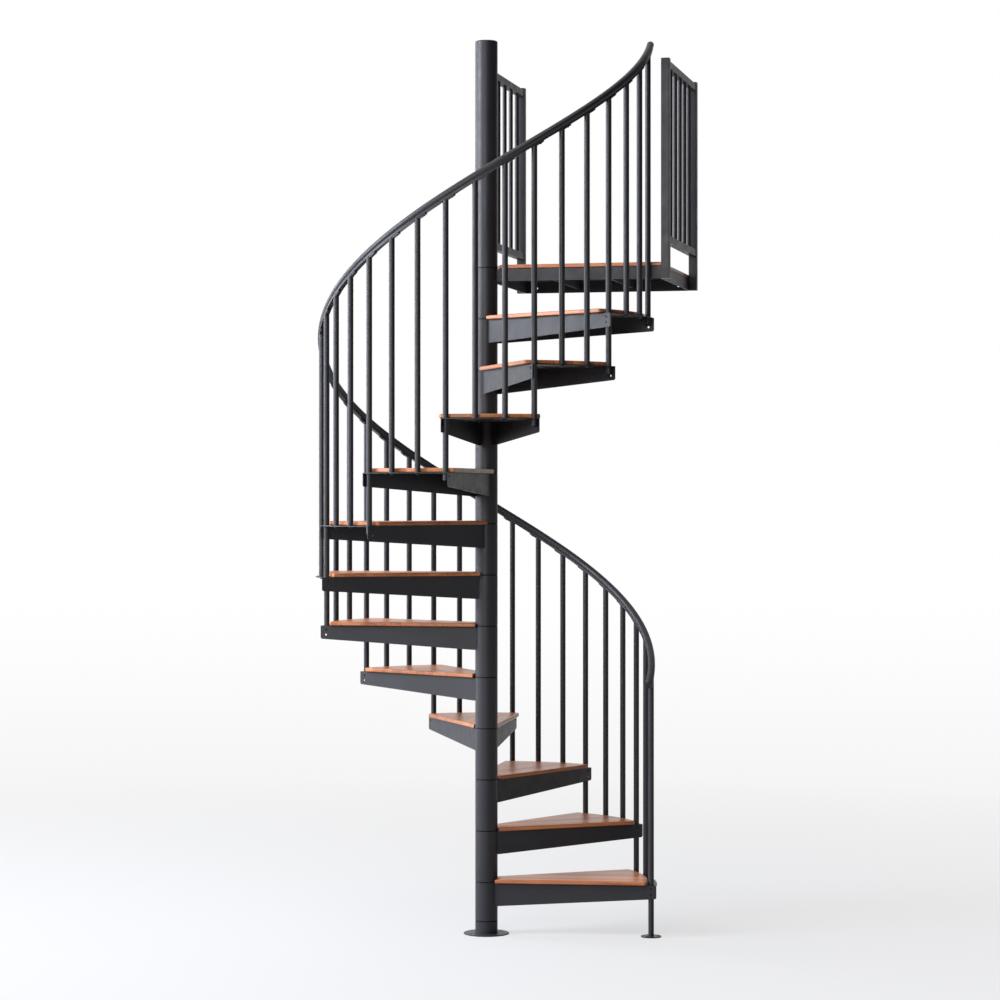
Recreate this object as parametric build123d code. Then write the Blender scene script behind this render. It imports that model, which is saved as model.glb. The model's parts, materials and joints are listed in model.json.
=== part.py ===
"""Spiral staircase with a square landing, one solid or group of like solids per named node.

Lengths are in mm. The origin is on the column axis, on the floor under the base plate, and +Z is up.
The landing's front edge runs along +X, and the stair climbs counter-clockwise seen from above.
"""
import os
from math import atan, cos, degrees, radians, sin, sqrt, tan

from build123d import *

os.makedirs("parts", exist_ok=True)

# Stair layout
tread_count = 12
baluster_per_tread = 3
baluster_step_deg = 9.786
last_baluster_deg = -1.73
full_turn_deg = 360.0
riser_height = 232.0
baluster_circle_radius = 749.0

# Column
column_diameter = 101.6
pole_diameter = 88.9
pole_wall_thickness = 5.0
sleeve_clearance_gap = 0.4
sleeve_stand_height = 3.0
ring_height = 5.0
ring_recess_depth = 1.2
column_over_landing_height = 1037.0
cap_height = 23.0
cap_edge_radius = 6.0

# Base plate
base_diameter = 206.0
base_thickness = 5.0
base_chamfer_width = 1.5
collar_height = 58.0
base_bolt_circle_diameter = 160.0
base_bolt_count = 4
base_bolt_hole_diameter = 13.0

# Tread frame, folded from plate
pan_thickness = 3.0
tread_edge_deg = 13.8
flange_hub_depth = 103.0
flange_end_depth = 60.0
pan_end_length = 25.0
tab_corner_radius = 9.0
tab_hole_diameter = 9.0
tab_hole_depth = 41.0
baluster_hole_gap = 0.4
baluster_flange_gap = 1.0

# Tread board
board_thickness = 20.0
board_overhang_width = 19.0
board_baluster_gap = 6.3
board_edge_radius = 6.0
board_corner_radius = 12.0
board_hub_gap = 13.0

# Balusters and handrail
baluster_diameter = 25.4
corner_foot_depth = 33.0
newel_foot_diameter = 92.0
newel_foot_thickness = 4.5
rail_height = 959.0
rail_diameter = 31.75
rail_foot_width = 22.0
rail_foot_depth = 21.0
rail_seat_gap = 0.25
rail_tail_deg = 4.9
rail_head_deg = 1.6
rail_cap_length = 8.0
rail_cap_radius = 3.0
clip_length = 34.0
clip_width = 18.0
clip_thickness = 5.0
clip_corner_radius = 8.0

# Landing
landing_left_width = 8.0
landing_right_width = 56.0
landing_length = 787.0
landing_beam_thickness = 5.0
landing_beam_depth = 54.0
landing_rib_count = 2
landing_rib_depth = 40.0
landing_bolt_inset_width = 53.5
landing_bolt_hole_diameter = 11.0
landing_bolt_hole_depth = 30.0
post_width = 38.0
post_height = 910.0
post_corner_radius = 3.0
guard_rail_width = 31.75
guard_rail_top_gap = 8.5
guard_rail_foot_height = 86.5
picket_count = 5
picket_diameter = 20.0
left_picket_shift_length = 27.0

# One overrun length for all cuts
overrun_length = 60.0

# Worked-out places
baluster_radius = baluster_diameter / 2
column_radius = column_diameter / 2
tread_step_deg = baluster_step_deg * baluster_per_tread
half_step_deg = tread_step_deg / 2
half_turn_deg = full_turn_deg / 2
landing_level = riser_height * (tread_count + 1)
column_top = landing_level + column_over_landing_height
edge_slope = tan(radians(tread_edge_deg))
edge_cosine = cos(radians(tread_edge_deg))
sleeve_bore = pole_diameter / 2 + sleeve_clearance_gap
rise_per_deg = riser_height / tread_step_deg
rail_pitch = rise_per_deg * full_turn_deg
rail_slope_deg = degrees(atan(riser_height / (radians(tread_step_deg) * baluster_circle_radius)))
baluster_count = tread_count * baluster_per_tread
corner_baluster_along = baluster_circle_radius * cos(radians(half_step_deg))
corner_baluster_aside = baluster_circle_radius * sin(radians(half_step_deg))
corner_clearance = (baluster_radius + baluster_flange_gap + pan_thickness) / edge_cosine
pan_edge_at_axis = corner_baluster_aside - edge_slope * corner_baluster_along + corner_clearance
board_edge_at_axis = pan_edge_at_axis + board_overhang_width
pan_reach = baluster_circle_radius + pan_end_length
board_reach = baluster_circle_radius - baluster_radius - board_baluster_gap
landing_front = baluster_circle_radius * sin(radians(last_baluster_deg)) + baluster_radius
landing_left = landing_left_width
landing_right = baluster_circle_radius + landing_right_width
landing_width = landing_right - landing_left
landing_back = landing_front + landing_length
deck_top = landing_level + board_thickness


def baluster_deg(index):
    """Angle of a baluster; index 0 is the newel and the last one stands at the landing."""
    return last_baluster_deg + (index - baluster_count) * baluster_step_deg


def tread_level(number):
    """Height of the plate that carries a tread's board."""
    return riser_height * number


def rail_middle(index):
    """Height of the handrail's middle line over a baluster."""
    return rail_height + riser_height + index * riser_height / baluster_per_tread


def along_edge(edge_at_axis, reach):
    """Distance along the tread's middle line at which a side edge is at a reach from the axis."""
    square = 1 + edge_slope**2
    middle = edge_at_axis * edge_slope
    rest = edge_at_axis**2 - reach**2
    return (-middle + sqrt(middle**2 - square * rest)) / square


def wedge(edge_at_axis, reach):
    """Tread outline with straight sides, its outer end an arc about the column axis."""
    along = along_edge(edge_at_axis, reach)
    aside = edge_at_axis + edge_slope * along
    sides = Polyline((along, -aside), (0, -edge_at_axis), (0, edge_at_axis), (along, aside))
    nose = ThreePointArc((along, aside), (reach, 0), (along, -aside))
    return make_face(sides + nose)


def tube(outer, inner, bottom, top):
    """Upright tube about the column axis."""
    height = top - bottom
    body = Cylinder(outer, height, align=(Align.CENTER, Align.CENTER, Align.MIN))
    bore = Cylinder(inner, height, align=(Align.CENTER, Align.CENTER, Align.MIN))
    return Pos(0, 0, bottom) * (body - bore)


def upright(radius, bottom, top):
    """Upright round bar about the origin."""
    body = Cylinder(radius, top - bottom, align=(Align.CENTER, Align.CENTER, Align.MIN))
    return Pos(0, 0, bottom) * body


def block(low, high):
    """Box between two corners."""
    size = [high[axis] - low[axis] for axis in range(3)]
    box = Box(*size, align=(Align.MIN, Align.MIN, Align.MIN))
    return Pos(*low) * box


def one_solid(shape):
    """The single solid of a shape made by joins and cuts."""
    return shape.solids().sort_by(SortBy.VOLUME)[-1]


# Column pieces
def ring_level(number):
    """Underside of a ring; number 0 is the one on the base plate's collar."""
    if number == 0:
        return collar_height
    return tread_level(number) + sleeve_stand_height


def make_base_plate():
    plate_body = upright(base_diameter / 2, 0, base_thickness)
    plate_body = chamfer(plate_body.edges().group_by(Axis.Z)[-1], base_chamfer_width)
    collar = tube(column_radius, sleeve_bore, base_thickness, collar_height)
    first_deg = half_turn_deg / base_bolt_count
    holes = PolarLocations(base_bolt_circle_diameter / 2, base_bolt_count, start_angle=first_deg)
    body = plate_body + collar
    for place in holes:
        body = body - place * upright(base_bolt_hole_diameter / 2, 0, base_thickness)
    return one_solid(body)


def make_rings():
    outer = column_radius - ring_recess_depth
    levels = [ring_level(number) for number in range(tread_count + 2)]
    return [tube(outer, sleeve_bore, level, level + ring_height) for level in levels]


def make_sleeve(number):
    """Column sleeve of a tread, or of the landing, between two rings."""
    return tube(column_radius, sleeve_bore, ring_level(number - 1) + ring_height, ring_level(number))


def make_cap():
    top = upright(column_radius, column_top - cap_height, column_top)
    top = fillet(top.edges().group_by(Axis.Z)[-1], cap_edge_radius)
    plug_radius = pole_diameter / 2 - pole_wall_thickness
    plug = upright(plug_radius, column_top - cap_height - cap_height, column_top - cap_height)
    return one_solid(top + plug)


# Tread pieces, made with the middle line along +X and the board's underside at zero
def side_flange(side):
    """Tapered side of the pan, with a rounded tab at its end."""
    outer = along_edge(pan_edge_at_axis, pan_reach) / edge_cosine
    end = (outer, -flange_end_depth)
    hub = (column_radius, -flange_hub_depth)
    flat = Polyline((0, 0), (outer, 0), end, hub, (0, -flange_hub_depth), close=True)
    face = make_face(flat)
    face = fillet(face.vertices().group_by(Axis.X)[-1].sort_by(Axis.Y)[0], tab_corner_radius)
    hole_along = along_edge(pan_edge_at_axis, baluster_circle_radius) / edge_cosine
    face = face - Pos(hole_along, -tab_hole_depth) * Circle(tab_hole_diameter / 2)
    standing = extrude(Plane.XZ * face, pan_thickness * side)
    return Pos(0, side * pan_edge_at_axis, 0) * Rot(0, 0, side * tread_edge_deg) * standing


def make_pan():
    """Top plate with a curved end, two side flanges and holes for the corner balusters."""
    pan = Pos(0, 0, -pan_thickness) * extrude(wedge(pan_edge_at_axis, pan_reach), pan_thickness)
    for side in (-1, 1):
        hole = upright(baluster_radius + baluster_hole_gap, -pan_thickness, 0)
        pan = pan - Pos(corner_baluster_along, side * corner_baluster_aside, 0) * hole
        pan = pan + side_flange(side)
    return pan


def round_edges(board):
    """Board with its upper and lower edges rounded."""
    levels = board.edges().group_by(Axis.Z)
    return fillet(levels[-1] + levels[0], board_edge_radius)


def make_board():
    face = wedge(board_edge_at_axis, board_reach)
    face = fillet(face.vertices().group_by(Axis.X)[-1], board_corner_radius)
    body = extrude(face, board_thickness)
    body = one_solid(body - upright(column_radius + board_hub_gap, 0, board_thickness))
    return round_edges(body)


# Balusters
def baluster_foot(index):
    """Bottom height of a baluster, from where it stands."""
    if index == 0:
        return newel_foot_thickness
    number = (index - 1) // baluster_per_tread + 1
    if index % baluster_per_tread == 0:
        return tread_level(number) - corner_foot_depth
    return tread_level(number)


def baluster_place(index):
    return Rot(0, 0, baluster_deg(index)) * Pos(baluster_circle_radius, 0, 0)


def under_rail(index):
    """Place under the handrail at a baluster, tilted to its slope, with +Y uphill."""
    drop = (rail_foot_depth + rail_seat_gap) / cos(radians(rail_slope_deg))
    return baluster_place(index) * Pos(0, 0, rail_middle(index) - drop) * Rot(rail_slope_deg, 0, 0)


def make_baluster(index):
    """Round bar, its top cut to the handrail's slope."""
    bar = baluster_place(index) * upright(baluster_radius, baluster_foot(index), rail_middle(index))
    above = block((-overrun_length, -overrun_length, 0), (overrun_length, overrun_length, overrun_length))
    return one_solid(bar - under_rail(index) * above)


def make_clip(index):
    """Small plate that screws a baluster's top to the rail, on the uphill side of the bar."""
    start = baluster_radius / cos(radians(rail_slope_deg))
    plate = block((-clip_width / 2, 0, -clip_thickness), (clip_width / 2, start + clip_length, 0))
    end_corners = plate.edges().filter_by(Axis.Z).group_by(Axis.Y)[-1]
    plate = fillet(end_corners, clip_corner_radius)
    bar = upright(baluster_radius, baluster_foot(index), rail_middle(index) + overrun_length)
    return one_solid(under_rail(index) * plate - baluster_place(index) * bar)


# Handrail
def rail_profile():
    grip = Circle(rail_diameter / 2)
    foot = Pos(0, -rail_foot_depth / 2) * Rectangle(rail_foot_width, rail_foot_depth)
    return grip + foot


def rail_place(turn):
    """Place of the rail's profile at an angle past the newel, with +Z along the rail."""
    across = radians(turn)
    rise = rise_per_deg * degrees(1) / baluster_circle_radius
    ahead = (-sin(across), cos(across), rise)
    spot = (baluster_circle_radius * cos(across), baluster_circle_radius * sin(across), turn * rise_per_deg)
    return Plane(spot, x_dir=(-cos(across), -sin(across), 0), z_dir=ahead)


rail_start = Rot(0, 0, baluster_deg(0)) * Pos(0, 0, rail_middle(0))
rail_finish_deg = baluster_step_deg * baluster_count + rail_tail_deg


def make_handrail():
    span = rail_finish_deg + rail_head_deg
    path = Helix(rail_pitch, span * rise_per_deg, baluster_circle_radius)
    path = Rot(0, 0, -rail_head_deg) * Pos(0, 0, -rail_head_deg * rise_per_deg) * path
    rail = sweep(rail_place(-rail_head_deg) * rail_profile(), path=path, is_frenet=True)
    return rail_start * one_solid(rail)


def make_rail_caps():
    cap = extrude(rail_profile(), rail_cap_length)
    cap = fillet(cap.edges().group_by(Axis.Z)[-1], rail_cap_radius)
    top = rail_start * rail_place(rail_finish_deg).location * cap
    foot = rail_start * rail_place(-rail_head_deg).location * Rot(0, half_turn_deg, 0) * cap
    return [top, foot]


# Landing
def make_landing_frame():
    low = landing_level - landing_beam_depth
    top = landing_level
    beam = landing_beam_thickness
    outer = block((landing_left, landing_front, low), (landing_right, landing_back, top))
    inner = block(
        (landing_left + beam, landing_front + beam, low),
        (landing_right - beam, landing_back - beam, top - beam),
    )
    frame = outer - inner
    for number in range(1, landing_rib_count + 1):
        along = landing_left + landing_width * number / (landing_rib_count + 1)
        rib = block(
            (along - beam / 2, landing_front + beam / 2, top - landing_rib_depth),
            (along + beam / 2, landing_back - beam / 2, top - beam / 2),
        )
        frame = frame + rib
    frame = frame - upright(column_radius - pan_thickness, low, top)
    hole = Rot(half_turn_deg / 2, 0, 0) * Cylinder(landing_bolt_hole_diameter / 2, overrun_length)
    for across in (landing_left + landing_bolt_inset_width, landing_right - landing_bolt_inset_width):
        frame = frame - Pos(across, landing_back, top - landing_bolt_hole_depth) * hole
    return one_solid(frame + make_sleeve(tread_count + 1))


def make_landing_deck():
    deck = block((landing_left, landing_front, landing_level), (landing_right, landing_back, deck_top))
    deck = deck - upright(column_radius + board_hub_gap, landing_level, deck_top)
    return round_edges(one_solid(deck))


post_centres = {
    "front": (landing_right + post_width / 2, landing_front + post_width / 2),
    "back": (landing_right + post_width / 2, landing_back - post_width / 2),
    "left": (landing_left - post_width / 2, landing_back - post_width / 2),
}


def make_posts():
    posts = []
    for across, depth in post_centres.values():
        body = Box(post_width, post_width, post_height + board_thickness + landing_beam_depth,
                   align=(Align.CENTER, Align.CENTER, Align.MIN))
        body = fillet(body.edges().filter_by(Axis.Z), post_corner_radius)
        posts.append(Pos(across, depth, landing_level - landing_beam_depth) * body)
    return posts


def make_guard(across, start, finish, first_post, shift):
    """Two rails with upright pickets between them, along Y."""
    half = guard_rail_width / 2
    upper = deck_top + post_height - guard_rail_top_gap
    lower = deck_top + guard_rail_foot_height
    guard = block((across - half, start, upper - guard_rail_width), (across + half, finish, upper))
    guard = guard + block((across - half, start, lower), (across + half, finish, lower + guard_rail_width))
    last_post = landing_back - post_width / 2
    for number in range(1, picket_count + 1):
        depth = first_post + (last_post - first_post) * number / (picket_count + 1) + shift
        picket = upright(picket_diameter / 2, lower + half, upper - half)
        guard = guard + Pos(across, depth, 0) * picket
    return guard


def make_guard_right():
    across, front = post_centres["front"]
    return one_solid(make_guard(across, front + post_width / 2, landing_back - post_width, front, 0))


def make_guard_left():
    across = post_centres["left"][0]
    start = sqrt((column_radius - ring_recess_depth) ** 2 - across**2) - pan_thickness
    guard = make_guard(across, start, landing_back - post_width, 0, left_picket_shift_length)
    return one_solid(guard - upright(column_radius, landing_level, column_top))


# Export
def write(name, pieces):
    pieces = pieces if isinstance(pieces, list) else [pieces]
    solids = [solid for piece in pieces for solid in piece.solids()]
    shape = solids[0] if len(solids) == 1 else Compound(children=solids)
    shape.label = name
    export_step(shape, f"parts/{name}.step")


column_end = column_top - cap_height
write("base_plate", make_base_plate())
pole_bore = pole_diameter / 2 - pole_wall_thickness
write("centre_pole", tube(pole_diameter / 2, pole_bore, base_thickness, column_end))
write("column_rings", make_rings())
top_sleeve_level = ring_level(tread_count + 1) + ring_height
write("column_top_sleeve", tube(column_radius, sleeve_bore, top_sleeve_level, column_end))
write("column_cap", make_cap())

pan = make_pan()
board = make_board()
for number in range(1, tread_count + 1):
    turn = baluster_deg(baluster_per_tread * (number - 1)) + half_step_deg
    level = tread_level(number)
    place = Pos(0, 0, level) * Rot(0, 0, turn)
    frame = place * pan - upright(column_radius - pan_thickness, level - flange_hub_depth, level)
    write(f"tread_frame_{number:02d}", one_solid(frame + make_sleeve(number)))
    write(f"tread_board_{number:02d}", place * board)

write("newel_post", make_baluster(0))
write("newel_foot", baluster_place(0) * upright(newel_foot_diameter / 2, 0, newel_foot_thickness))
baluster_groups = ["balusters_lower", "balusters_lower_middle", "balusters_upper_middle", "balusters_upper"]
group_size = baluster_count // len(baluster_groups)
for group, name in enumerate(baluster_groups):
    first = group * group_size + 1
    write(name, [make_baluster(index) for index in range(first, first + group_size)])
write("rail_clips", [make_clip(index) for index in range(baluster_count + 1)])
write("handrail", make_handrail())
write("handrail_caps", make_rail_caps())

write("landing_frame", make_landing_frame())
write("landing_deck", make_landing_deck())
write("landing_posts", make_posts())
write("landing_guard_right", make_guard_right())
write("landing_guard_left", make_guard_left())
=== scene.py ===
"""Dresses the spiral staircase: coated steel, oiled hardwood boards, fixings, a pale floor and soft light.

Lengths are in metres. The origin is on the column axis at the floor, and +Z is up.
"""
import json
from math import asin, atan, cos, pi, radians, sin, sqrt, tan

import bmesh
import bpy
from mathutils import Matrix, Vector

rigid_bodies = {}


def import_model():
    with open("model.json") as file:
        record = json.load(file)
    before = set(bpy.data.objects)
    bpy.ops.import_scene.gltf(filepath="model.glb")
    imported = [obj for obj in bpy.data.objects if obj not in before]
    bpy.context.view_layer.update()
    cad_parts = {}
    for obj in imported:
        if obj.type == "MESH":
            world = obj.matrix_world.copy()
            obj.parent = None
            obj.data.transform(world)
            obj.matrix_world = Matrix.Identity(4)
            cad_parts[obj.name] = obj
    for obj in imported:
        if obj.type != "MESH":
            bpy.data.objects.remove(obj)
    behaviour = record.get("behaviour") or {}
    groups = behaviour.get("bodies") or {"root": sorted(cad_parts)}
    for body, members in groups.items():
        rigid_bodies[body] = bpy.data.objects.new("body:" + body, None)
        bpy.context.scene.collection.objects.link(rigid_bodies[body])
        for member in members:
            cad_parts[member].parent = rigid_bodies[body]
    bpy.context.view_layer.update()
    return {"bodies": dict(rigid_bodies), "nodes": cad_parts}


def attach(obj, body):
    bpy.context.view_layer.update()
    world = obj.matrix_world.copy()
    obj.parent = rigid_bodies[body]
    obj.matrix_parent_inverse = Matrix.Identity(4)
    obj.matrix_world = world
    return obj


# Stair layout, as in the solid model
TREADS = 12
BALUSTERS_PER_TREAD = 3
BALUSTERS = TREADS * BALUSTERS_PER_TREAD
BALUSTER_STEP_DEG = 9.786
LAST_BALUSTER_DEG = -1.73
RISER = 0.232
BALUSTER_CIRCLE = 0.749
BALUSTER_RADIUS = 0.0127
CORNER_FOOT_DEPTH = 0.033
COLUMN_RADIUS = 0.0508
NEWEL_FOOT_TOP = 0.0045

# Tread frame
PAN_THICKNESS = 0.003
TREAD_EDGE_DEG = 13.8
FLANGE_HUB_DEPTH = 0.103
CORNER_CLEARANCE = 0.0167

# Handrail
RAIL_MIDDLE_AT_NEWEL = 1.191
RAIL_FOOT_DEPTH = 0.02125
RAIL_FOOT_WIDTH = 0.022
RAIL_GRIP_RADIUS = 0.015875
CLIP_THICKNESS = 0.005

# Slip-on end of the handrail, with angles counted from the newel
RAIL_END_FROM_DEG = -1.2
RAIL_END_TO_DEG = -6.1
RAIL_END_WALL = 0.0003
RAIL_END_ROUNDING = 0.003
RAIL_END_STEPS = 6
RAIL_END_ROUND_STEPS = 3
RAIL_ARC_STEPS = 28

# Landing
DECK_THICKNESS = 0.020
LANDING_LEVEL = RISER * (TREADS + 1)
DECK_TOP = LANDING_LEVEL + DECK_THICKNESS
LANDING_LEFT = 0.008
LANDING_RIGHT = 0.805
LANDING_LENGTH = 0.787
LANDING_BEAM_DEPTH = 0.054
POST_WIDTH = 0.038
POST_HEIGHT = 0.910
GUARD_RAIL_WIDTH = 0.03175
GUARD_RAIL_TOP_GAP = 0.0085
GUARD_RAIL_FOOT_HEIGHT = 0.0865
PICKETS = 5
PICKET_RADIUS = 0.010
LEFT_PICKET_SHIFT = 0.027

# Places of the fixings
BOARD_SCREW_REACHES = (0.17, 0.40, 0.64)
BOARD_SCREW_INSET = 0.026
TAB_BOLT_DEPTH = 0.016
CLIP_SCREW_FROM_BAR = 0.017
NEWEL_FOOT_SCREWS = 3
NEWEL_FOOT_SCREW_CIRCLE = 0.032

# Screw heads: radius, height and socket radius
TAB_BOLT_HEAD = (0.0048, 0.0032, 0.0024)
BOARD_SCREW_HEAD = (0.0052, 0.0030, 0.0022)
CLIP_SCREW_HEAD = (0.0046, 0.0028, 0.0020)
NEWEL_FOOT_SCREW_HEAD = (0.0050, 0.0024, 0.0022)
SOCKET_SIDES = 6
HEAD_SKIRT_SHARE = 0.35
HEAD_BROW_SHARE = 0.82

# Bolts under the balusters, and plugs in the feet of the corner ones
BOLT_RADIUS = 0.0075
BOLT_HEIGHT = 0.0056
BOLT_SIDES = 6
BOLT_EDGE_SHARE = 0.2
WASHER_RADIUS = 0.0100
WASHER_HEIGHT = 0.0018
WASHER_EDGE_SHARE = 0.25
WASHER_SEGMENTS = 20
PLUG_RADIUS = 0.0122
PLUG_CROWN_RADIUS = 0.0108
PLUG_SKIRT_HEIGHT = 0.0022
PLUG_CROWN_HEIGHT = 0.0034
PLUG_HEIGHT = 0.0040
PLUG_SEGMENTS = 24

# Welds and post caps
FLANGE_WELD_RADIUS = 0.0024
FLANGE_WELD_RIPPLES = 18
LANDING_WELD_RADIUS = 0.0026
LANDING_WELD_RIPPLES = 10
PICKET_WELD_RADIUS = 0.0028
PICKET_WELD_SEGMENTS = 20
WELD_SEGMENTS = 8
WELD_TROUGH_SHARE = 0.82
WELD_HIP_SHARE = 0.45
POST_CAP_HEIGHT = 0.0020
POST_CAP_EDGE = 0.0004
POST_CAP_INSET_SHARE = 0.16

# Meshes
SMOOTH_ANGLE = radians(32.0)
MERGE_DISTANCE = 1e-6
EDGE_STEPS = 2

# Coated steel
CHARCOAL = (0.0122, 0.0121, 0.0162)
CHARCOAL_PALE = (0.0186, 0.0185, 0.0236)
DUST = (0.080, 0.078, 0.079)
CLOUD_SCALE = 5.0
CLOUD_STOPS = (0.3, 0.72)
DUST_TILT = (0.6, 1.0)
DUST_SHARE = 0.2
SPECK_SCALE = 46.0
SPECK_RANGE = (0.42, 0.7)
HANDLED_SCALE = 21.0
HANDLED_DETAIL = 6.0
STEEL_ROUGHNESS = (0.40, 0.52)
UNDERSIDE_TILT = (-0.9, -0.5)
UNDERSIDE_ROUGHNESS_CHANGE = -0.26
PEEL_SCALE = 620.0
PEEL_STRENGTH = 0.16
PEEL_HEIGHT = 0.0004
STEEL_SPECULAR = 0.5

# Oiled hardwood
WOOD_DARK = (0.300, 0.080, 0.028)
WOOD_MIDDLE = (0.550, 0.185, 0.066)
WOOD_LIGHT = (0.725, 0.295, 0.120)
WOOD_SEAM = (0.115, 0.034, 0.015)
# Painted shade: near-black colour given to the board faces that look down
WOOD_UNDERSIDE_SHADE = (0.022, 0.011, 0.007)
WOOD_STOPS = (0.32, 0.52, 0.76)
STRIP_WIDTH = 0.044
STRIP_SHIFT = 9.0
GRAIN_STRETCH = (1.0, 16.0, 16.0)
FIGURE_SCALE = 3.2
FIGURE_DETAIL = 5.0
FIGURE_ROUGHNESS = 0.6
FIGURE_BEND = 0.6
FIBRE_SCALE = 22.0
FIBRE_ROUGHNESS = 0.65
FIBRE_RANGE = (0.25, 0.75)
PORE_SCALE = 60.0
PORE_RANGE = (0.60, 0.72)
PORE_SHARE = 0.35
PORE_DEPTH_SHARE = 0.6
FIGURE_SHARE = 0.62
FIBRE_SHARE = 0.22
STRIP_SHARE = 0.22
STRIP_MIDDLE_SHARE = 0.5
SEAM_RANGE = (0.482, 0.497)
SEAM_SHARE = 0.65
# Painted shade: how far a face must look down to be darkened, and how much
UNDERSIDE_SHADE_TILT = (-0.65, -0.15)
UNDERSIDE_SHADE_SHARE = 0.9
WOOD_ROUGHNESS = (0.27, 0.42)
GRAIN_STRENGTH = 0.35
GRAIN_HEIGHT = 0.0005

# Black plastic of the rings, plugs and post caps
RING_BLACK = (0.0030, 0.0030, 0.0036)
RING_WORN = (0.0080, 0.0080, 0.0090)
SCUFF_SCALE = 70.0
SCUFF_DETAIL = 5.0
SCUFF_STOPS = (0.4, 0.75)
RING_ROUGHNESS = (0.55, 0.75)
RING_GRAIN_SCALE = 900.0
RING_GRAIN_STRENGTH = 0.2
RING_GRAIN_HEIGHT = 0.0003
RING_SPECULAR = 0.15

# Blacked bolts and screws
BLACKED_DARK = (0.018, 0.018, 0.020)
BLACKED_LIGHT = (0.060, 0.060, 0.064)
BLACKED_SCALE = 260.0
BLACKED_DETAIL = 3.0
BLACKED_STOPS = (0.35, 0.7)
BLACKED_ROUGHNESS = (0.3, 0.5)
BLACKED_GRAIN_SCALE = 1400.0
BLACKED_GRAIN_STRENGTH = 0.15
BLACKED_GRAIN_HEIGHT = 0.0002
BLACKED_METALLIC = 0.7

# Shared by the finishes; a mix has its sockets for the share and the two values, and then its result
MIX_SOCKETS = {"RGBA": ((0, 6, 7), 2), "FLOAT": ((0, 2, 3), 0)}
WHOLE_RANGE = (0.0, 1.0)
REVERSED_RANGE = (1.0, 0.0)
MIDDLE_RANGE = (0.3, 0.7)
NOISE_DETAIL = 4.0
NOISE_ROUGHNESS = 0.55
FINE_DETAIL = 2.0

# Floor
FLOOR_RADIUS = 70.0
FLOOR_SEGMENTS = 96
FLOOR_PALE = (0.74, 0.74, 0.76)
FLOOR_PALER = (0.77, 0.77, 0.79)
FLOOR_CLOUD_SCALE = 0.8
FLOOR_ROUGHNESS = 0.9
FLOOR_SPECULAR = 0.1
FLOOR_SHADE_NEAR = (0.50, 0.50, 0.50)
FLOOR_SHADE_FAR = (0.16, 0.16, 0.16)
SHADE_REACH = 2.2
SHADE_STOPS = (0.3, 1.0)
FLOOR_REACH = 45.0
FLOOR_FADE = ((0.03, 0.850), (0.12, 0.898), (0.20, 0.930), (0.32, 0.956), (0.51, 0.982), (0.90, 1.0))
SHADOW_REACH = (1.0, 7.0)
SHADOW_SHARE = 0.30
MIRROR_GROWS = (1.0, 4.0)
MIRROR_FADES = (10.0, 24.0)

# Surroundings
BRIGHT_SIDE_DEG = 140.0
SKY_RANGE = (-0.35, 0.9)
SKY_STRENGTH = (0.02, 1.25)
SKY_SEEN_STRENGTH = 1.0
WHITE = (1.0, 1.0, 1.0)
COOL = (0.84, 0.88, 1.0)

# Lamps: place, point they face, width and height, power and tint
LAMPS = {
    "left_softbox": ((-6.2, -3.2, 4.4), (0.0, 0.0, 1.8), (3.4, 5.0), 780.0, COOL),
    "rim_softbox": ((-6.7, 2.0, 3.2), (0.0, 0.0, 2.2), (2.0, 5.0), 260.0, COOL),
    "front_softbox": ((-0.8, -9.0, 3.8), (0.0, 0.0, 1.0), (3.4, 2.0), 240.0, WHITE),
    "top_softbox": ((0.3, -6.5, 14.0), (0.0, 0.0, 1.0), (8.0, 8.0), 520.0, WHITE),
}

# Camera, set from the photograph
CAMERA_PLACE = (2.9701, -12.2111, 1.983)
CAMERA_TURN_DEG = 13.39
CAMERA_LENS = 99.58
CAMERA_SENSOR = 36.0
CAMERA_SHIFT = -0.00305

# Directions and plain values
ORIGIN = (0.0, 0.0, 0.0)
UPWARD = (0.0, 0.0, 1.0)
DOWN = Matrix.Rotation(pi, 4, "X")
FULL_TURN_DEG = 360.0
FLANGE_SIDES = (-1, 1)
OPAQUE = 1.0

# Worked-out places
TREAD_STEP_DEG = BALUSTER_STEP_DEG * BALUSTERS_PER_TREAD
RISE_PER_DEG = RISER / TREAD_STEP_DEG
EDGE_SLOPE = tan(radians(TREAD_EDGE_DEG))
EDGE_COSINE = cos(radians(TREAD_EDGE_DEG))
CORNER_ALONG = BALUSTER_CIRCLE * cos(radians(TREAD_STEP_DEG / 2))
CORNER_ASIDE = BALUSTER_CIRCLE * sin(radians(TREAD_STEP_DEG / 2))
PAN_EDGE_AT_AXIS = CORNER_ASIDE - EDGE_SLOPE * CORNER_ALONG + CORNER_CLEARANCE / EDGE_COSINE
RAIL_SLOPE = atan(RISER / (radians(TREAD_STEP_DEG) * BALUSTER_CIRCLE))
LANDING_FRONT = BALUSTER_CIRCLE * sin(radians(LAST_BALUSTER_DEG)) + BALUSTER_RADIUS
LANDING_BACK = LANDING_FRONT + LANDING_LENGTH

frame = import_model()
nodes = frame["nodes"]
BODY = next(iter(frame["bodies"]))


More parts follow.
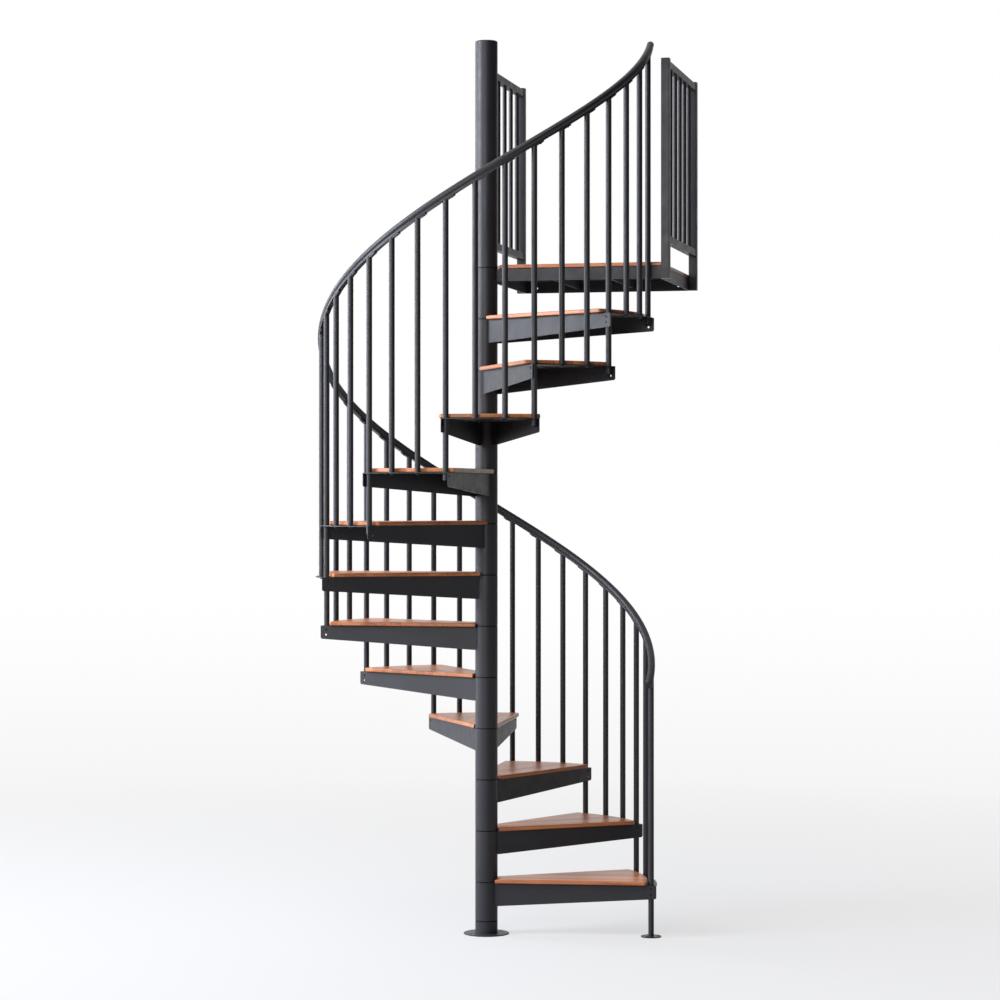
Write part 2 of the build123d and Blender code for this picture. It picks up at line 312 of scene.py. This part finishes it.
# Shader helpers
class Wiring:
    """A node tree under construction, with short ways to add and join its nodes."""

    def __init__(self, tree):
        self.tree = tree

    def add(self, kind, **settings):
        node = self.tree.nodes.new(kind)
        for key, value in settings.items():
            setattr(node, key, value)
        return node

    def join(self, source, target):
        self.tree.links.new(source, target)

    def feed(self, socket, value):
        """Sets a socket to a number or a colour, or joins it to a node's output."""
        if isinstance(value, (int, float)):
            socket.default_value = value
        elif isinstance(value, tuple):
            socket.default_value = (*value, OPAQUE)
        else:
            self.join(value, socket)

    def spread(self, value, old_range, new_range):
        """A value moved from one range to another and kept inside it."""
        node = self.add("ShaderNodeMapRange", clamp=True)
        node.inputs["From Min"].default_value, node.inputs["From Max"].default_value = old_range
        node.inputs["To Min"].default_value, node.inputs["To Max"].default_value = new_range
        self.join(value, node.inputs["Value"])
        return node.outputs["Result"]

    def maths(self, operation, *values):
        node = self.add("ShaderNodeMath", operation=operation)
        for socket, value in zip(node.inputs, values):
            self.feed(socket, value)
        return node.outputs["Value"]

    def ramp(self, value, stops):
        node = self.add("ShaderNodeValToRGB")
        elements = node.color_ramp.elements
        while len(elements) < len(stops):
            elements.new(stops[-1][0])
        for element, (position, colour) in zip(elements, stops):
            element.position = position
            element.color = (*colour, OPAQUE)
        self.join(value, node.inputs["Fac"])
        return node.outputs["Color"]

    def mix(self, share, first, second, kind="RGBA"):
        """Two colours or two numbers mixed, with the share of the second."""
        node = self.add("ShaderNodeMix", data_type=kind)
        sockets, result = MIX_SOCKETS[kind]
        for socket, value in zip(sockets, (share, first, second)):
            self.feed(node.inputs[socket], value)
        return node.outputs[result]

    def layer(self, share, first, second):
        """Two shaders mixed, with the share of the second."""
        node = self.add("ShaderNodeMixShader")
        self.join(share, node.inputs["Fac"])
        self.join(first, node.inputs[1])
        self.join(second, node.inputs[2])
        return node.outputs["Shader"]


class Shading(Wiring):
    """A material under construction."""

    def __init__(self, name):
        self.material = bpy.data.materials.new(name)
        self.material.use_nodes = True
        super().__init__(self.material.node_tree)
        self.surface = self.tree.nodes["Principled BSDF"]

    def place(self, turn=0.0):
        """Object coordinates, turned about Z."""
        coordinates = self.add("ShaderNodeTexCoord")
        mapping = self.add("ShaderNodeMapping", vector_type="POINT")
        mapping.inputs["Rotation"].default_value = (0.0, 0.0, turn)
        self.join(coordinates.outputs["Object"], mapping.inputs["Vector"])
        return mapping.outputs["Vector"]

    def tilt(self):
        """How much a face looks up: 1 is straight up, and -1 is straight down."""
        facing = self.add("ShaderNodeNewGeometry")
        split = self.add("ShaderNodeSeparateXYZ")
        self.join(facing.outputs["Normal"], split.inputs["Vector"])
        return split.outputs["Z"]

    def noise(self, vector, scale, detail=NOISE_DETAIL, roughness=NOISE_ROUGHNESS, bend=0.0):
        node = self.add("ShaderNodeTexNoise")
        node.inputs["Scale"].default_value = scale
        node.inputs["Detail"].default_value = detail
        node.inputs["Roughness"].default_value = roughness
        node.inputs["Distortion"].default_value = bend
        self.join(vector, node.inputs["Vector"])
        return node.outputs["Fac"]

    def bump(self, height, strength, distance):
        node = self.add("ShaderNodeBump")
        node.inputs["Strength"].default_value = strength
        node.inputs["Distance"].default_value = distance
        self.join(height, node.inputs["Height"])
        self.join(node.outputs["Normal"], self.surface.inputs["Normal"])

    def colour(self, source):
        self.join(source, self.surface.inputs["Base Color"])

    def roughness(self, source):
        self.join(source, self.surface.inputs["Roughness"])

    def specular(self, level):
        self.surface.inputs["Specular IOR Level"].default_value = level


# Finishes
def coated_steel():
    """Satin charcoal powder coat with orange peel, faint clouds and dust on top, smoother underneath."""
    paint = Shading("coated_steel")
    here = paint.place()
    clouds = paint.noise(here, CLOUD_SCALE)
    tone = paint.ramp(clouds, tuple(zip(CLOUD_STOPS, (CHARCOAL, CHARCOAL_PALE))))
    tilt = paint.tilt()
    upward = paint.spread(tilt, DUST_TILT, (0.0, DUST_SHARE))
    specks = paint.spread(paint.noise(here, SPECK_SCALE), SPECK_RANGE, WHOLE_RANGE)
    paint.colour(paint.mix(paint.maths("MULTIPLY", upward, specks), tone, DUST))
    handled = paint.noise(here, HANDLED_SCALE, detail=HANDLED_DETAIL)
    handled = paint.spread(handled, MIDDLE_RANGE, STEEL_ROUGHNESS)
    underside = paint.spread(tilt, UNDERSIDE_TILT, (UNDERSIDE_ROUGHNESS_CHANGE, 0.0))
    paint.roughness(paint.maths("ADD", handled, underside))
    peel = paint.noise(here, PEEL_SCALE, detail=FINE_DETAIL)
    paint.bump(peel, PEEL_STRENGTH, PEEL_HEIGHT)
    paint.specular(STEEL_SPECULAR)
    return paint.material


def board_wood(name, grain_deg, seed):
    """Oiled hardwood glued from strips along the tread's front edge, with painted shade darkening the faces
    that look down.
    """
    wood = Shading(name)
    here = wood.place(turn=-radians(grain_deg))
    split = wood.add("ShaderNodeSeparateXYZ")
    wood.join(here, split.inputs["Vector"])
    along, across, up = split.outputs
    strips = wood.maths("DIVIDE", wood.maths("ADD", across, seed * STRIP_WIDTH), STRIP_WIDTH)
    chance = wood.add("ShaderNodeTexWhiteNoise", noise_dimensions="1D")
    wood.join(wood.maths("FLOOR", strips), chance.inputs["W"])
    chance = chance.outputs["Value"]
    moved = wood.maths("MULTIPLY", chance, STRIP_SHIFT)
    grain_place = wood.add("ShaderNodeCombineXYZ")
    wood.join(wood.maths("ADD", along, moved), grain_place.inputs["X"])
    wood.join(wood.maths("ADD", across, moved), grain_place.inputs["Y"])
    wood.join(up, grain_place.inputs["Z"])
    stretch = wood.add("ShaderNodeMapping", vector_type="POINT")
    stretch.inputs["Scale"].default_value = GRAIN_STRETCH
    wood.join(grain_place.outputs["Vector"], stretch.inputs["Vector"])
    grain = stretch.outputs["Vector"]
    figure = wood.noise(grain, FIGURE_SCALE, FIGURE_DETAIL, FIGURE_ROUGHNESS, FIGURE_BEND)
    fibres = wood.noise(grain, FIBRE_SCALE, roughness=FIBRE_ROUGHNESS)
    pores = wood.spread(wood.noise(grain, PORE_SCALE, detail=FINE_DETAIL), PORE_RANGE, WHOLE_RANGE)
    tone = wood.maths("MULTIPLY", figure, FIGURE_SHARE)
    tone = wood.maths("ADD", tone, wood.maths("MULTIPLY", fibres, FIBRE_SHARE))
    tone = wood.maths("ADD", tone, wood.maths("MULTIPLY", chance, STRIP_SHARE))
    colour = wood.ramp(tone, tuple(zip(WOOD_STOPS, (WOOD_DARK, WOOD_MIDDLE, WOOD_LIGHT))))
    colour = wood.mix(wood.maths("MULTIPLY", pores, PORE_SHARE), colour, WOOD_SEAM)
    from_middle = wood.maths("SUBTRACT", wood.maths("FRACT", strips), STRIP_MIDDLE_SHARE)
    seam = wood.spread(wood.maths("ABSOLUTE", from_middle), SEAM_RANGE, WHOLE_RANGE)
    colour = wood.mix(wood.maths("MULTIPLY", seam, SEAM_SHARE), colour, WOOD_SEAM)
    # Painted shade: faces that look down are mixed towards near-black
    painted_shade = wood.spread(wood.tilt(), UNDERSIDE_SHADE_TILT, (UNDERSIDE_SHADE_SHARE, 0.0))
    wood.colour(wood.mix(painted_shade, colour, WOOD_UNDERSIDE_SHADE))
    wood.roughness(wood.spread(fibres, FIBRE_RANGE, WOOD_ROUGHNESS))
    relief = wood.maths("SUBTRACT", fibres, wood.maths("MULTIPLY", pores, PORE_DEPTH_SHARE))
    wood.bump(wood.maths("SUBTRACT", relief, seam), GRAIN_STRENGTH, GRAIN_HEIGHT)
    return wood.material


def ring_plastic():
    """Dull black plastic with scuffs."""
    rings = Shading("ring_plastic")
    here = rings.place()
    scuffs = rings.noise(here, SCUFF_SCALE, detail=SCUFF_DETAIL)
    rings.colour(rings.ramp(scuffs, tuple(zip(SCUFF_STOPS, (RING_BLACK, RING_WORN)))))
    rings.roughness(rings.spread(scuffs, MIDDLE_RANGE, RING_ROUGHNESS))
    grain = rings.noise(here, RING_GRAIN_SCALE, detail=FINE_DETAIL)
    rings.bump(grain, RING_GRAIN_STRENGTH, RING_GRAIN_HEIGHT)
    rings.specular(RING_SPECULAR)
    return rings.material


def blacked_steel():
    """Blacked bolts and screws, worn a little brighter on their faces."""
    bolts = Shading("blacked_fixings")
    here = bolts.place()
    wear = bolts.noise(here, BLACKED_SCALE, detail=BLACKED_DETAIL)
    bolts.colour(bolts.ramp(wear, tuple(zip(BLACKED_STOPS, (BLACKED_DARK, BLACKED_LIGHT)))))
    bolts.roughness(bolts.spread(wear, MIDDLE_RANGE, BLACKED_ROUGHNESS))
    grain = bolts.noise(here, BLACKED_GRAIN_SCALE, detail=FINE_DETAIL)
    bolts.bump(grain, BLACKED_GRAIN_STRENGTH, BLACKED_GRAIN_HEIGHT)
    bolts.surface.inputs["Metallic"].default_value = BLACKED_METALLIC
    return bolts.material


steel = coated_steel()
black = ring_plastic()
blacked = blacked_steel()


def clothe(node, material):
    mesh = nodes[node].data
    mesh.materials.clear()
    mesh.materials.append(material)


def baluster_deg(index):
    """Angle of a baluster; index 0 is the newel."""
    return LAST_BALUSTER_DEG + (index - BALUSTERS) * BALUSTER_STEP_DEG


def tread_deg(number):
    """Direction of a tread's middle line."""
    return baluster_deg(BALUSTERS_PER_TREAD * (number - 1)) + TREAD_STEP_DEG / 2


for node in nodes:
    if node.startswith("tread_board"):
        number = int(node[-2:])
        clothe(node, board_wood(node + "_wood", tread_deg(number) - TREAD_EDGE_DEG, number))
    elif node == "landing_deck":
        clothe(node, board_wood("landing_deck_wood", 0.0, TREADS + 1))
    elif node == "column_rings":
        clothe(node, black)
    else:
        clothe(node, steel)


# Small shapes for the fixings, each standing on zero along +Z
def turned(profile, segments):
    """Round shape from points of radius and height that start and end on the axis."""
    shape = bmesh.new()
    points = [shape.verts.new((radius, 0.0, height)) for radius, height in profile]
    for first, second in zip(points, points[1:]):
        shape.edges.new((first, second))
    outline = shape.verts[:] + shape.edges[:]
    bmesh.ops.spin(shape, geom=outline, cent=ORIGIN, axis=UPWARD, angle=2 * pi,
                   steps=segments, use_merge=True)
    bmesh.ops.remove_doubles(shape, verts=shape.verts, dist=MERGE_DISTANCE)
    bmesh.ops.recalc_face_normals(shape, faces=shape.faces)
    return shape


def corners_of(geometry):
    return [part for part in geometry if isinstance(part, bmesh.types.BMVert)]


def raised(shape, corners, height):
    bmesh.ops.translate(shape, verts=corners, vec=(0.0, 0.0, height))


def rounded(shape, edges, offset, steps=EDGE_STEPS):
    bmesh.ops.bevel(shape, geom=edges, offset=offset, segments=steps, profile=0.5,
                    affect="EDGES", material=-1)


def prism(sides, radius, height, edge):
    """Bar end with flat sides and a bevelled top."""
    shape = bmesh.new()
    bmesh.ops.create_circle(shape, cap_ends=True, segments=sides, radius=radius)
    top = corners_of(bmesh.ops.extrude_face_region(shape, geom=shape.faces[:])["geom"])
    raised(shape, top, height)
    rim = [line for line in shape.edges if all(corner in top for corner in line.verts)]
    rounded(shape, rim, edge)
    bmesh.ops.recalc_face_normals(shape, faces=shape.faces)
    return shape


def gathered(shapes):
    """Several small shapes as one."""
    whole = bmesh.new()
    for shape in shapes:
        mesh = bpy.data.meshes.new("small_shape")
        shape.to_mesh(mesh)
        shape.free()
        whole.from_mesh(mesh)
        bpy.data.meshes.remove(mesh)
    return whole


def recessed_head(radius, height, socket_radius):
    """Domed screw head with a sunk socket in its top."""
    profile = [(0.0, 0.0), (radius, 0.0), (radius, height * HEAD_SKIRT_SHARE)]
    profile += [(radius * HEAD_BROW_SHARE, height * HEAD_BROW_SHARE), (socket_radius, height), (0.0, height)]
    shape = turned(profile, SOCKET_SIDES * 2)
    crown = [face for face in shape.faces if face.calc_center_median().z > height - MERGE_DISTANCE]
    sunk = bmesh.ops.extrude_face_region(shape, geom=crown)["geom"]
    bmesh.ops.delete(shape, geom=crown, context="FACES_ONLY")
    raised(shape, corners_of(sunk), -height / 2)
    bmesh.ops.recalc_face_normals(shape, faces=shape.faces)
    return shape


def hex_bolt():
    """Hexagon bolt head on its washer."""
    rim = WASHER_HEIGHT * WASHER_EDGE_SHARE
    profile = [(0.0, 0.0), (WASHER_RADIUS, 0.0), (WASHER_RADIUS, WASHER_HEIGHT - rim)]
    profile += [(WASHER_RADIUS - rim, WASHER_HEIGHT), (0.0, WASHER_HEIGHT)]
    washer = turned(profile, WASHER_SEGMENTS)
    head = prism(BOLT_SIDES, BOLT_RADIUS, BOLT_HEIGHT, BOLT_HEIGHT * BOLT_EDGE_SHARE)
    raised(head, head.verts, WASHER_HEIGHT)
    return gathered([washer, head])


def foot_plug():
    """Low domed plug for a bar's open end."""
    profile = [(0.0, 0.0), (PLUG_RADIUS, 0.0), (PLUG_RADIUS, PLUG_SKIRT_HEIGHT)]
    profile += [(PLUG_CROWN_RADIUS, PLUG_CROWN_HEIGHT), (0.0, PLUG_HEIGHT)]
    return turned(profile, PLUG_SEGMENTS)


def weld_bead(length, radius, ripples):
    """Rippled bead of weld, standing along +Z."""
    ripple_length = length / ripples
    profile = [(0.0, 0.0)]
    for ripple in range(ripples):
        trough = ripple_length * (ripple + 1)
        profile.append((radius, trough - ripple_length / 2))
        profile.append((radius * WELD_TROUGH_SHARE, trough))
    profile[-1] = (0.0, length)
    return turned(profile, WELD_SEGMENTS)


def weld_ring(inner, radius, segments):
    """Round of weld where a bar meets a plate."""
    hip = (inner + radius * WELD_HIP_SHARE, radius * WELD_HIP_SHARE)
    profile = [(0.0, 0.0), (inner + radius, 0.0), hip, (inner - radius / 2, radius), (0.0, radius)]
    return turned(profile, segments)


def post_cap(width, height, edge):
    """Square cap with a low raised middle."""
    shape = bmesh.new()
    bmesh.ops.create_grid(shape, x_segments=1, y_segments=1, size=width / 2)
    grown = bmesh.ops.extrude_face_region(shape, geom=shape.faces[:])["geom"]
    raised(shape, corners_of(grown), height / 2)
    lid = [part for part in grown if isinstance(part, bmesh.types.BMFace)]
    bmesh.ops.inset_region(shape, faces=lid, thickness=width * POST_CAP_INSET_SHARE, depth=height / 2)
    bmesh.ops.recalc_face_normals(shape, faces=shape.faces)
    bends = [line for line in shape.edges if line.calc_face_angle(0.0) > SMOOTH_ANGLE / 2]
    rounded(shape, bends, edge)
    return shape


# Placing the fixings
def shift(x, y, z):
    return Matrix.Translation((x, y, z))


def turn_about_column(angle_deg):
    return Matrix.Rotation(radians(angle_deg), 4, "Z")


def tread_place(number):
    return turn_about_column(tread_deg(number)) @ shift(0.0, 0.0, RISER * number)


def baluster_place(index, height):
    return turn_about_column(baluster_deg(index)) @ shift(BALUSTER_CIRCLE, 0.0, height)


def baluster_tread(index):
    return (index - 1) // BALUSTERS_PER_TREAD + 1


def along_edge(edge_at_axis, reach):
    """Distance along a tread's middle line at which a side edge is at a reach from the axis."""
    square = 1 + EDGE_SLOPE**2
    middle = edge_at_axis * EDGE_SLOPE
    rest = edge_at_axis**2 - reach**2
    return (-middle + sqrt(middle**2 - square * rest)) / square


def flange_places(reach, depth):
    """Places on the outer faces of every tread's two side flanges, facing outwards."""
    along = along_edge(PAN_EDGE_AT_AXIS, reach)
    places = []
    for number in range(1, TREADS + 1):
        for side in FLANGE_SIDES:
            spot = shift(along, side * (PAN_EDGE_AT_AXIS + EDGE_SLOPE * along), -depth)
            splay = Matrix.Rotation(side * radians(TREAD_EDGE_DEG), 4, "Z")
            outward = Matrix.Rotation(-side * pi / 2, 4, "X")
            places.append(tread_place(number) @ spot @ splay @ outward)
    return places


def under_pan_places():
    """Places under every pan's plate where screws hold the board, facing down."""
    places = []
    for number in range(1, TREADS + 1):
        for reach in BOARD_SCREW_REACHES:
            for side in FLANGE_SIDES:
                aside = side * (PAN_EDGE_AT_AXIS + EDGE_SLOPE * reach - BOARD_SCREW_INSET)
                places.append(tread_place(number) @ shift(reach, aside, -PAN_THICKNESS) @ DOWN)
    return places


def baluster_foot_places(corner, depth):
    """Places under the corner balusters or the ones between, at a depth under their tread, facing down."""
    places = []
    for index in range(1, BALUSTERS + 1):
        if (index % BALUSTERS_PER_TREAD == 0) == corner:
            places.append(baluster_place(index, RISER * baluster_tread(index) - depth) @ DOWN)
    return places


def clip_screw_places():
    """Places under every rail clip, facing down and square to the rail."""
    drop = RAIL_FOOT_DEPTH / cos(RAIL_SLOPE)
    uphill = BALUSTER_RADIUS / cos(RAIL_SLOPE) + CLIP_SCREW_FROM_BAR
    tilt = Matrix.Rotation(RAIL_SLOPE, 4, "X")
    places = []
    for index in range(BALUSTERS + 1):
        height = RAIL_MIDDLE_AT_NEWEL + index * RISER / BALUSTERS_PER_TREAD - drop
        places.append(baluster_place(index, height) @ tilt @ shift(0.0, uphill, -CLIP_THICKNESS) @ DOWN)
    return places


def flange_weld_places():
    """Places along both faces of every flange where it meets its sleeve, standing upright."""
    inner_edge = PAN_EDGE_AT_AXIS - PAN_THICKNESS / EDGE_COSINE
    places = []
    for number in range(1, TREADS + 1):
        for edge in (PAN_EDGE_AT_AXIS, inner_edge):
            along = along_edge(edge, COLUMN_RADIUS)
            for side in FLANGE_SIDES:
                spot = shift(along, side * (edge + EDGE_SLOPE * along), -FLANGE_HUB_DEPTH)
                places.append(tread_place(number) @ spot)
    return places


def landing_weld_places():
    """Places where the landing's front and left beams meet their sleeve."""
    low = LANDING_LEVEL - LANDING_BEAM_DEPTH
    front = shift(sqrt(COLUMN_RADIUS**2 - LANDING_FRONT**2), LANDING_FRONT, low)
    left = shift(LANDING_LEFT, sqrt(COLUMN_RADIUS**2 - LANDING_LEFT**2), low)
    return [front, left]


def picket_weld_places():
    """Places at both ends of every landing picket, facing along it."""
    low = DECK_TOP + GUARD_RAIL_FOOT_HEIGHT + GUARD_RAIL_WIDTH
    high = DECK_TOP + POST_HEIGHT - GUARD_RAIL_TOP_GAP - GUARD_RAIL_WIDTH
    last_post = LANDING_BACK - POST_WIDTH / 2
    right_row = (LANDING_RIGHT + POST_WIDTH / 2, LANDING_FRONT + POST_WIDTH / 2, 0.0)
    left_row = (LANDING_LEFT - POST_WIDTH / 2, 0.0, LEFT_PICKET_SHIFT)
    places = []
    for across, first_post, move in (right_row, left_row):
        for number in range(1, PICKETS + 1):
            depth = first_post + (last_post - first_post) * number / (PICKETS + 1) + move
            places.append(shift(across, depth, low))
            places.append(shift(across, depth, high) @ DOWN)
    return places


def newel_screw_places():
    """Places on the newel's foot disc."""
    places = []
    for number in range(NEWEL_FOOT_SCREWS):
        turn = turn_about_column(FULL_TURN_DEG * number / NEWEL_FOOT_SCREWS)
        places.append(baluster_place(0, NEWEL_FOOT_TOP) @ turn @ shift(NEWEL_FOOT_SCREW_CIRCLE, 0.0, 0.0))
    return places


def post_cap_places():
    """Places on top of the landing's posts."""
    right = LANDING_RIGHT + POST_WIDTH / 2
    left = LANDING_LEFT - POST_WIDTH / 2
    front = LANDING_FRONT + POST_WIDTH / 2
    back = LANDING_BACK - POST_WIDTH / 2
    top = DECK_TOP + POST_HEIGHT
    return [shift(right, front, top), shift(right, back, top), shift(left, back, top)]


# Handrail's lower end
def rail_outline():
    """Points round the handrail's end, across and up from the rail's middle: a round grip on a flat foot."""
    grip = RAIL_GRIP_RADIUS + RAIL_END_WALL
    half = RAIL_FOOT_WIDTH / 2 + RAIL_END_WALL
    depth = RAIL_FOOT_DEPTH + RAIL_END_WALL
    meeting = asin(half / grip) - pi / 2
    points = [(-half, -depth), (half, -depth)]
    for step in range(RAIL_ARC_STEPS + 1):
        angle = meeting + (pi - 2 * meeting) * step / RAIL_ARC_STEPS
        points.append((grip * cos(angle), grip * sin(angle)))
    return points


def rail_end():
    """Slip-on end of the handrail, run down the rail's helix past the newel and rounded off."""
    start = turn_about_column(RAIL_END_FROM_DEG)
    start = start @ baluster_place(0, RAIL_MIDDLE_AT_NEWEL + RAIL_END_FROM_DEG * RISE_PER_DEG)
    start = start @ Matrix.Rotation(RAIL_SLOPE, 4, "X")
    shape = bmesh.new()
    corners = [shape.verts.new(start @ Vector((across, 0.0, up))) for across, up in rail_outline()]
    outline = [shape.edges.new(pair) for pair in zip(corners, corners[1:] + corners[:1])]
    turn = RAIL_END_TO_DEG - RAIL_END_FROM_DEG
    fall = (0.0, 0.0, turn * RISE_PER_DEG / RAIL_END_STEPS)
    run = bmesh.ops.spin(shape, geom=corners + outline, cent=ORIGIN, axis=UPWARD, dvec=fall,
                         angle=radians(turn), steps=RAIL_END_STEPS)
    rim = [part for part in run["geom_last"] if isinstance(part, bmesh.types.BMEdge)]
    bmesh.ops.edgeloop_fill(shape, edges=rim)
    bmesh.ops.edgeloop_fill(shape, edges=outline)
    bmesh.ops.recalc_face_normals(shape, faces=shape.faces)
    rounded(shape, rim, RAIL_END_ROUNDING, RAIL_END_ROUND_STEPS)
    bmesh.ops.recalc_face_normals(shape, faces=shape.faces)
    return shape


# Fitting the small pieces
def fit_out(name, template, places, material):
    """One piece made of copies of a small shape, one at each place."""
    pattern = bpy.data.meshes.new(name + "_pattern")
    template.to_mesh(pattern)
    template.free()
    whole = bmesh.new()
    for place in places:
        copy = pattern.copy()
        copy.transform(place)
        whole.from_mesh(copy)
        bpy.data.meshes.remove(copy)
    bpy.data.meshes.remove(pattern)
    mesh = bpy.data.meshes.new(name)
    whole.to_mesh(mesh)
    whole.free()
    mesh.shade_smooth()
    mesh.set_sharp_from_angle(angle=SMOOTH_ANGLE)
    mesh.materials.append(material)
    piece = bpy.data.objects.new(name, mesh)
    bpy.context.scene.collection.objects.link(piece)
    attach(piece, BODY)


tab_bolts = recessed_head(*TAB_BOLT_HEAD)
fit_out("tab_bolts", tab_bolts, flange_places(BALUSTER_CIRCLE, TAB_BOLT_DEPTH), blacked)
fit_out("board_screws", recessed_head(*BOARD_SCREW_HEAD), under_pan_places(), blacked)
fit_out("baluster_bolts", hex_bolt(), baluster_foot_places(False, PAN_THICKNESS), blacked)
fit_out("baluster_plugs", foot_plug(), baluster_foot_places(True, CORNER_FOOT_DEPTH), black)
fit_out("clip_screws", recessed_head(*CLIP_SCREW_HEAD), clip_screw_places(), blacked)
flange_weld = weld_bead(FLANGE_HUB_DEPTH - PAN_THICKNESS, FLANGE_WELD_RADIUS, FLANGE_WELD_RIPPLES)
fit_out("flange_welds", flange_weld, flange_weld_places(), steel)
landing_weld = weld_bead(LANDING_BEAM_DEPTH, LANDING_WELD_RADIUS, LANDING_WELD_RIPPLES)
fit_out("landing_welds", landing_weld, landing_weld_places(), steel)
picket_weld = weld_ring(PICKET_RADIUS, PICKET_WELD_RADIUS, PICKET_WELD_SEGMENTS)
fit_out("picket_welds", picket_weld, picket_weld_places(), steel)
newel_screws = recessed_head(*NEWEL_FOOT_SCREW_HEAD)
fit_out("newel_foot_screws", newel_screws, newel_screw_places(), blacked)
fit_out("handrail_lower_end", rail_end(), [Matrix()], steel)
cap = post_cap(POST_WIDTH, POST_CAP_HEIGHT, POST_CAP_EDGE)
fit_out("landing_post_caps", cap, post_cap_places(), black)


# Floor, light and camera
def floor_finish():
    """Pale floor that fades to white with distance and keeps a soft shadow close to the stair."""
    floor = Shading("pale_floor")
    here = floor.place()
    length = floor.add("ShaderNodeVectorMath", operation="LENGTH")
    floor.join(here, length.inputs[0])
    reach = length.outputs["Value"]
    floor.colour(floor.mix(floor.noise(here, FLOOR_CLOUD_SCALE), FLOOR_PALE, FLOOR_PALER))
    floor.surface.inputs["Roughness"].default_value = FLOOR_ROUGHNESS
    floor.specular(FLOOR_SPECULAR)
    glow = floor.add("ShaderNodeEmission")
    fade = [(place, (tone, tone, tone)) for place, tone in FLOOR_FADE]
    floor.join(floor.ramp(floor.maths("DIVIDE", reach, FLOOR_REACH), fade), glow.inputs["Color"])
    share = floor.spread(reach, SHADOW_REACH, (1.0 - SHADOW_SHARE, 1.0))
    pale = floor.layer(share, floor.surface.outputs["BSDF"], glow.outputs["Emission"])
    shade = floor.add("ShaderNodeBsdfDiffuse")
    dimming = tuple(zip(SHADE_STOPS, (FLOOR_SHADE_NEAR, FLOOR_SHADE_FAR)))
    floor.join(floor.ramp(floor.maths("DIVIDE", reach, SHADE_REACH), dimming), shade.inputs["Color"])
    path = floor.add("ShaderNodeLightPath")
    mirrored = floor.maths("MAXIMUM", path.outputs["Is Glossy Ray"], path.outputs["Is Transmission Ray"])
    inner = floor.spread(reach, MIRROR_GROWS, WHOLE_RANGE)
    outer = floor.spread(reach, MIRROR_FADES, REVERSED_RANGE)
    mirrored = floor.maths("MULTIPLY", mirrored, floor.maths("MULTIPLY", inner, outer))
    seen = floor.maths("MAXIMUM", path.outputs["Is Camera Ray"], mirrored)
    whole = floor.layer(seen, shade.outputs["BSDF"], pale)
    floor.join(whole, floor.tree.nodes["Material Output"].inputs["Surface"])
    return floor.material


def make_floor():
    shape = bmesh.new()
    bmesh.ops.create_circle(shape, cap_ends=True, segments=FLOOR_SEGMENTS, radius=FLOOR_RADIUS)
    mesh = bpy.data.meshes.new("floor")
    shape.to_mesh(mesh)
    shape.free()
    mesh.materials.append(floor_finish())
    floor = bpy.data.objects.new("floor", mesh)
    bpy.context.scene.collection.objects.link(floor)


def make_world():
    """White surroundings, with light and reflections brightest behind on the left and dim on the right."""
    world = bpy.data.worlds.new("studio")
    bpy.context.scene.world = world
    world.use_nodes = True
    sky = Wiring(world.node_tree)
    background = sky.tree.nodes["Background"]
    background.inputs["Color"].default_value = (*WHITE, OPAQUE)
    direction = sky.add("ShaderNodeTexCoord")
    dot = sky.add("ShaderNodeVectorMath", operation="DOT_PRODUCT")
    turn = radians(CAMERA_TURN_DEG + BRIGHT_SIDE_DEG)
    dot.inputs[1].default_value = (cos(turn), sin(turn), 0.0)
    sky.join(direction.outputs["Generated"], dot.inputs[0])
    light = sky.spread(dot.outputs["Value"], SKY_RANGE, SKY_STRENGTH)
    side = sky.spread(dot.outputs["Value"], SKY_RANGE, WHOLE_RANGE)
    path = sky.add("ShaderNodeLightPath")
    mirrored = sky.maths("MULTIPLY", path.outputs["Is Glossy Ray"], side)
    seen = sky.maths("MAXIMUM", path.outputs["Is Camera Ray"], path.outputs["Is Transmission Ray"])
    clear = sky.maths("MAXIMUM", seen, mirrored)
    sky.join(sky.mix(clear, light, SKY_SEEN_STRENGTH, "FLOAT"), background.inputs["Strength"])


def add_lamp(name, place, aim, size, power, tint):
    light = bpy.data.lights.new(name, "AREA")
    light.color = tint
    light.shape = "RECTANGLE"
    light.size, light.size_y = size
    light.energy = power
    lamp = bpy.data.objects.new(name, light)
    bpy.context.scene.collection.objects.link(lamp)
    lamp.location = place
    lamp.rotation_euler = (Vector(aim) - Vector(place)).to_track_quat("-Z", "Y").to_euler()


make_floor()
make_world()
for lamp_name, lamp_settings in LAMPS.items():
    add_lamp(lamp_name, *lamp_settings)

camera_data = bpy.data.cameras.new("camera")
camera_data.lens = CAMERA_LENS
camera_data.sensor_width = CAMERA_SENSOR
camera_data.shift_y = CAMERA_SHIFT
camera = bpy.data.objects.new("camera", camera_data)
camera.location = CAMERA_PLACE
camera.rotation_euler = (pi / 2, 0.0, radians(CAMERA_TURN_DEG))
bpy.context.scene.collection.objects.link(camera)
bpy.context.scene.camera = camera
bpy.context.scene.view_settings.view_transform = "Standard"
